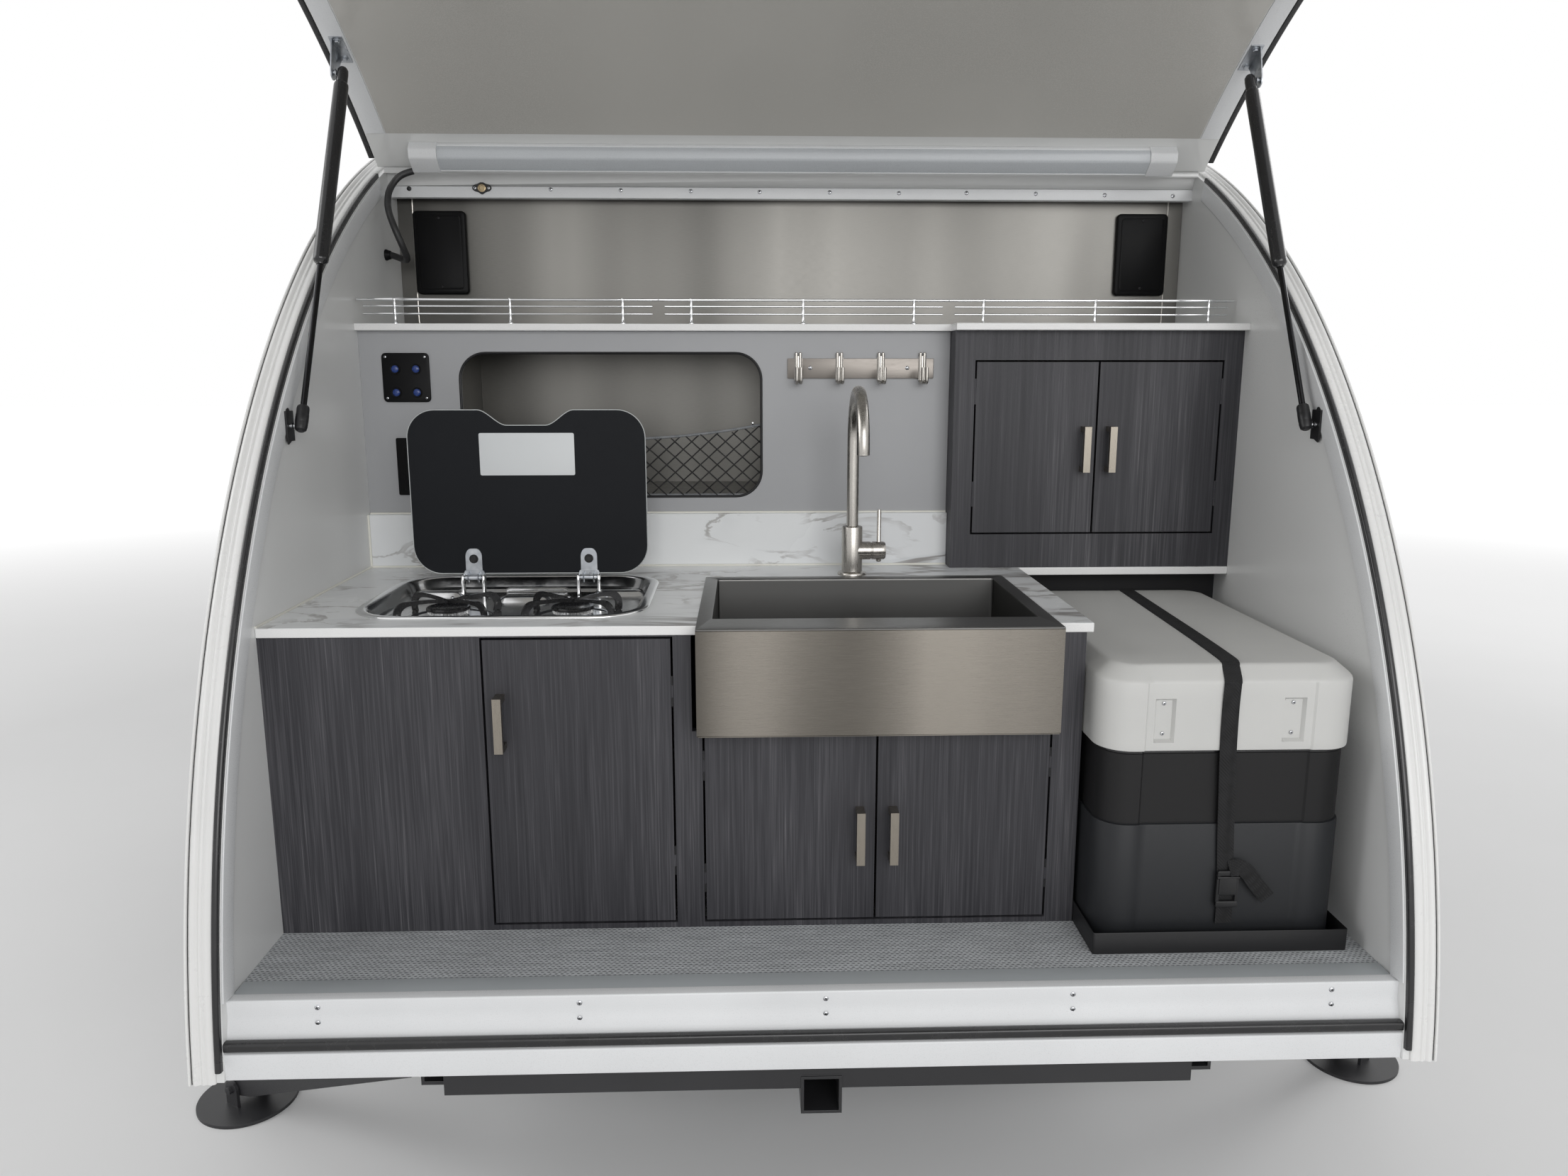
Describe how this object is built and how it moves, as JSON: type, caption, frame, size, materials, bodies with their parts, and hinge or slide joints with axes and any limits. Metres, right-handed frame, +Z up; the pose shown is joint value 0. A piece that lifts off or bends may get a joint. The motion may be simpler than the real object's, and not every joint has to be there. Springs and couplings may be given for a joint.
{
  "type": "teardrop camping trailer",
  "caption": "Teardrop camping trailer with a rear galley under a lifting hatch on gas struts, side doors, road wheels, tongue jack and swinging stabiliser legs.",
  "frame": {"origin": "on the ground under the middle of the overall length and width", "axes": "+Y forward towards the coupler, +X to the right seen from behind, +Z up"},
  "size_m": [2.306, 4.8521, 2.1302],
  "materials": {
    "frame_black": "satin black coating",
    "axle_black": "satin black coating",
    "coupler_black": "satin black coating",
    "jack_zinc": "zinc plated",
    "cylinder_white": "white enamel",
    "shell_white": "glossy white laminate",
    "hatch_white": "glossy white laminate",
    "trim_white": "ribbed white trim",
    "seal_black": "soft rubber",
    "floor_grey": "woven covering",
    "frame_white": "white coated",
    "fender_black": "gloss black",
    "window_glass": "tinted",
    "door_glass": "tinted",
    "cable_black": "satin",
    "zinc": "zinc plated",
    "cabinet_charcoal": "dark woodgrain laminate",
    "marble_white": "white veined laminate",
    "bulkhead_grey": "satin grey",
    "inner_grey": "glossy pebbled",
    "shelf_marble": "white veined laminate",
    "chrome": "polished",
    "sink_steel": "brushed",
    "faucet_nickel": "brushed nickel",
    "hob_steel": "polished",
    "burner_black": "matte",
    "hook_nickel": "brushed",
    "fitting_black": "satin",
    "cooler_slate": "satin",
    "cooler_pale": "satin",
    "tray_black": "satin black",
    "strap_black": "woven webbing",
    "net_black": "knotless net",
    "lamp_red": "clear red lens",
    "lightbar_white": "opal diffuser",
    "strut_black": "gloss black",
    "rod_steel": "ground",
    "door_white": "glossy white laminate",
    "lid_glass": "matte black toughened glass",
    "tyre": "moulded",
    "rim_alloy": "machined",
    "pad_black": "satin black",
    "edge_rubber": "bulb edge"
  },
  "bodies": {
    "trailer": {"chassis": "frame_black", "axle": "axle_black", "coupler": "coupler_black", "tongue_jack": "jack_zinc", "gas_cylinder": "cylinder_white", "floor": "floor_grey", "wall_left": "shell_white", "wall_right": "shell_white", "roof": "shell_white", "edge_trim": "trim_white", "body_seal": "seal_black", "opening_frame": "frame_white", "fenders": "fender_black", "front_window": "window_glass", "bar_cable": "cable_black", "wall_brackets": "zinc", "cabinets": "cabinet_charcoal", "countertop": "marble_white", "bulkhead": "bulkhead_grey", "inner_wall": "inner_grey", "shelf": "shelf_marble", "gallery_rails": "chrome", "sink": "sink_steel", "faucet": "faucet_nickel", "hob_tray": "hob_steel", "burners": "burner_black", "hook_rack": "hook_nickel", "wall_fittings": "fitting_black", "cooler_body": "cooler_slate", "cooler_lid": "cooler_pale", "cooler_tray": "tray_black", "cooler_strap": "strap_black", "cargo_net": "net_black"},
    "hatch": {"hatch": "hatch_white", "hatch_edge": "edge_rubber", "tail_lamps": "lamp_red", "light_bar": "lightbar_white", "hatch_brackets": "zinc"},
    "strut_tube_left": {"strut_tube_left": "strut_black"},
    "strut_tube_right": {"strut_tube_right": "strut_black"},
    "strut_rod_left": {"strut_rod_left": "rod_steel"},
    "strut_rod_right": {"strut_rod_right": "rod_steel"},
    "door_left": {"door_left": "door_white", "door_glass_left": "door_glass"},
    "door_right": {"door_right": "door_white", "door_glass_right": "door_glass"},
    "wheel_left": {"tyre_left": "tyre", "rim_left": "rim_alloy"},
    "wheel_right": {"tyre_right": "tyre", "rim_right": "rim_alloy"},
    "cabinet_door": {"cabinet_door": "cabinet_charcoal"},
    "sink_door_left": {"sink_door_left": "cabinet_charcoal"},
    "sink_door_right": {"sink_door_right": "cabinet_charcoal"},
    "upper_door_left": {"upper_door_left": "cabinet_charcoal"},
    "upper_door_right": {"upper_door_right": "cabinet_charcoal"},
    "hob_lid": {"hob_lid": "lid_glass", "lid_hinges": "zinc"},
    "stabiliser_left": {"stabiliser_left": "pad_black"},
    "stabiliser_right": {"stabiliser_right": "pad_black"}
  },
  "joints": [
    {"name": "wheel_left_spin", "type": "hinge", "parent": "trailer", "child": "wheel_left", "pos_m": [-1.0145, -0.374, 0.345], "axis": [1, 0, 0], "continuous": true},
    {"name": "wheel_right_spin", "type": "hinge", "parent": "trailer", "child": "wheel_right", "pos_m": [1.0145, -0.374, 0.345], "axis": [1, 0, 0], "continuous": true},
    {"name": "hatch_lift", "type": "hinge", "parent": "trailer", "child": "hatch", "pos_m": [0, -0.76224, 1.75232], "axis": [-1, 0, 0], "range_deg": [-62, 0], "deforming": ["bar_cable"]},
    {"name": "strut_left_swing", "type": "hinge", "parent": "hatch", "child": "strut_tube_left", "pos_m": [-0.815, -1.03112, 1.85807], "axis": [1, 0, 0], "range_deg": [-86, 0]},
    {"name": "strut_left_stroke", "type": "slide", "parent": "strut_tube_left", "child": "strut_rod_left", "axis": [0, 0.4616, 0.8871], "range_m": [0, 0.204]},
    {"name": "strut_right_swing", "type": "hinge", "parent": "hatch", "child": "strut_tube_right", "pos_m": [0.815, -1.03112, 1.85807], "axis": [1, 0, 0], "range_deg": [-86, 0]},
    {"name": "strut_right_stroke", "type": "slide", "parent": "strut_tube_right", "child": "strut_rod_right", "axis": [0, 0.4616, 0.8871], "range_m": [0, 0.204]},
    {"name": "door_left_hinge", "type": "hinge", "parent": "trailer", "child": "door_left", "pos_m": [-0.89, 0.81, 1.045], "axis": [0, 0, -1], "range_deg": [0, 100]},
    {"name": "door_right_hinge", "type": "hinge", "parent": "trailer", "child": "door_right", "pos_m": [0.89, 0.81, 1.045], "axis": [0, 0, 1], "range_deg": [0, 100]},
    {"name": "hob_lid_hinge", "type": "hinge", "parent": "trailer", "child": "hob_lid", "pos_m": [-0.4945, -1.172, 0.973], "axis": [1, 0, 0], "range_deg": [0, 90]},
    {"name": "cabinet_door_hinge", "type": "hinge", "parent": "trailer", "child": "cabinet_door", "pos_m": [-0.21925, -1.524, 0.712], "axis": [0, 0, 1], "range_deg": [0, 90]},
    {"name": "sink_door_left_hinge", "type": "hinge", "parent": "trailer", "child": "sink_door_left", "pos_m": [-0.17275, -1.524, 0.637], "axis": [0, 0, -1], "range_deg": [0, 90]},
    {"name": "sink_door_right_hinge", "type": "hinge", "parent": "trailer", "child": "sink_door_right", "pos_m": [0.36775, -1.524, 0.637], "axis": [0, 0, 1], "range_deg": [0, 90]},
    {"name": "upper_door_left_hinge", "type": "hinge", "parent": "trailer", "child": "upper_door_left", "pos_m": [0.32925, -1.041, 1.194], "axis": [0, 0, -1], "range_deg": [0, 90]},
    {"name": "upper_door_right_hinge", "type": "hinge", "parent": "trailer", "child": "upper_door_right", "pos_m": [0.80075, -1.041, 1.194], "axis": [0, 0, 1], "range_deg": [0, 90]},
    {"name": "stabiliser_left_swing", "type": "hinge", "parent": "trailer", "child": "stabiliser_left", "pos_m": [-0.6, -1.544, 0.283], "axis": [0.5271, 0.8498, 0], "range_deg": [0, 25]},
    {"name": "stabiliser_right_swing", "type": "hinge", "parent": "trailer", "child": "stabiliser_right", "pos_m": [0.64, -1.484, 0.283], "axis": [0.5271, -0.8498, 0], "range_deg": [0, 25]}
  ],
  "couplings": [
    {"joint": "strut_left_swing", "follows": "hatch_lift", "ratio": 1.3542},
    {"joint": "strut_left_stroke", "follows": "hatch_lift", "m_per_rad": -0.18746},
    {"joint": "strut_right_swing", "follows": "hatch_lift", "ratio": 1.3542},
    {"joint": "strut_right_stroke", "follows": "hatch_lift", "m_per_rad": -0.18746}
  ]
}
